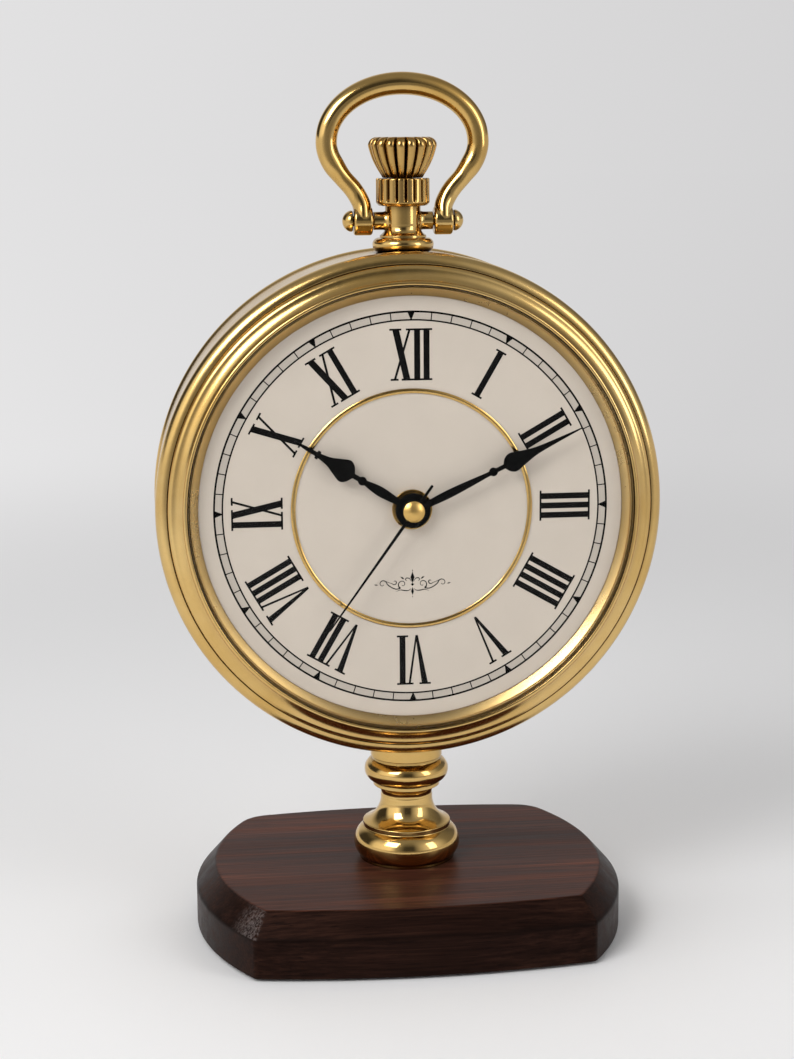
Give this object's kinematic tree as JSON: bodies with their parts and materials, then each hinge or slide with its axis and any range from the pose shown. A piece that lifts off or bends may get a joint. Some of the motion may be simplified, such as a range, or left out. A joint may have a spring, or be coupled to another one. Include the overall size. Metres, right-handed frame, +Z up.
{
  "type": "desk clock",
  "caption": "Desk clock in pocket-watch form: a round brass case with swinging bow and fluted crown, Roman dial and quartz movement, on a turned pillar and wooden base.",
  "frame": {"origin": "on the table under the pillar's axis, at the middle of the base's underside", "axes": "+Z up along the pillar's axis, the dial faces -Y, +X is to the right seen from the front"},
  "size_m": [0.1502, 0.106, 0.2583],
  "materials": {
    "brass": "polished",
    "dark_wood": "semi-gloss lacquer",
    "felt": "matt felt",
    "steel": "plain",
    "clear_glass": "clear",
    "dial_cream": "satin",
    "hand_black": "satin black",
    "movement_plastic": "fine matt",
    "wheel_plastic": "moulded",
    "knob_plastic": "moulded",
    "rubber": "matt",
    "battery_jacket": "gloss sleeve",
    "copper_wire": "enamelled wire",
    "board": "satin",
    "chip_resin": "resin"
  },
  "bodies": {
    "stand_and_case": {"wood_base": "dark_wood", "base_felt": "felt", "pillar": "brass", "tie_rod": "steel", "tie_washer": "steel", "tie_nut": "steel", "case_nut": "steel", "case_body": "brass", "back_cover": "brass", "cover_screws": "brass", "bezel": "brass", "reveal_ring": "brass", "dial_glass": "clear_glass", "dial_plate": "dial_cream", "dial_ring": "brass", "dial_retainer": "steel", "pendant": "brass", "pendant_nut": "steel", "crown_collar": "brass", "crown": "brass", "bow_pin": "brass", "bow_screws": "brass", "movement_front_housing": "movement_plastic", "movement_rear_housing": "movement_plastic", "movement_gasket": "rubber", "dial_washer": "brass", "dial_nut": "brass", "battery": "battery_jacket", "positive_contact": "steel", "negative_contact": "steel", "stator": "steel", "coil_core": "steel", "coil": "copper_wire", "circuit_board": "board", "quartz_crystal": "steel", "chip": "chip_resin"},
    "bow": {"bow": "brass"},
    "minute_works": {"minute_hand": "hand_black", "cannon_pinion": "brass"},
    "hour_works": {"hour_hand": "hand_black", "hour_wheel": "wheel_plastic"},
    "motion_works": {"motion_wheel": "wheel_plastic"},
    "setting_works": {"setting_knob": "knob_plastic"},
    "second_works": {"second_hand": "hand_black", "hand_cap": "brass", "second_wheel": "wheel_plastic"},
    "third_works": {"third_wheel": "wheel_plastic"},
    "centre_works": {"centre_wheel": "wheel_plastic"},
    "intermediate_works": {"intermediate_wheel": "wheel_plastic"},
    "rotor_works": {"rotor": "wheel_plastic"}
  },
  "joints": [
    {"name": "bow_swing", "type": "hinge", "parent": "stand_and_case", "child": "bow", "pos_m": [0, 0, 0.2153], "axis": [1, 0, 0], "range_deg": [-108, 108]},
    {"name": "minute_turn", "type": "hinge", "parent": "stand_and_case", "child": "minute_works", "pos_m": [0, 0, 0.132], "axis": [0, 1, 0], "continuous": true},
    {"name": "hour_turn", "type": "hinge", "parent": "stand_and_case", "child": "hour_works", "pos_m": [0, 0, 0.132], "axis": [0, 1, 0], "continuous": true},
    {"name": "motion_turn", "type": "hinge", "parent": "stand_and_case", "child": "motion_works", "pos_m": [0.0094, 0, 0.13542], "axis": [0, 1, 0], "continuous": true},
    {"name": "setting_turn", "type": "hinge", "parent": "stand_and_case", "child": "setting_works", "pos_m": [0.01936, 0, 0.13455], "axis": [0, 1, 0], "continuous": true},
    {"name": "second_turn", "type": "hinge", "parent": "stand_and_case", "child": "second_works", "pos_m": [0, 0, 0.132], "axis": [0, 1, 0], "continuous": true},
    {"name": "third_turn", "type": "hinge", "parent": "stand_and_case", "child": "third_works", "pos_m": [-0.00958, 0, 0.13549], "axis": [0, 1, 0], "continuous": true},
    {"name": "centre_turn", "type": "hinge", "parent": "stand_and_case", "child": "centre_works", "pos_m": [0, 0, 0.132], "axis": [0, 1, 0], "continuous": true},
    {"name": "intermediate_turn", "type": "hinge", "parent": "stand_and_case", "child": "intermediate_works", "pos_m": [0, 0, 0.1421], "axis": [0, 1, 0], "continuous": true},
    {"name": "rotor_turn", "type": "hinge", "parent": "stand_and_case", "child": "rotor_works", "pos_m": [-0.00472, 0, 0.14773], "axis": [0, 1, 0], "continuous": true}
  ],
  "couplings": [
    {"joint": "hour_turn", "follows": "minute_turn", "ratio": 0.083333},
    {"joint": "motion_turn", "follows": "minute_turn", "ratio": -0.33333},
    {"joint": "setting_turn", "follows": "minute_turn", "ratio": 1},
    {"joint": "third_turn", "follows": "second_turn", "ratio": -0.125},
    {"joint": "centre_turn", "follows": "second_turn", "ratio": 0.016667},
    {"joint": "intermediate_turn", "follows": "second_turn", "ratio": -5},
    {"joint": "rotor_turn", "follows": "second_turn", "ratio": 30}
  ]
}
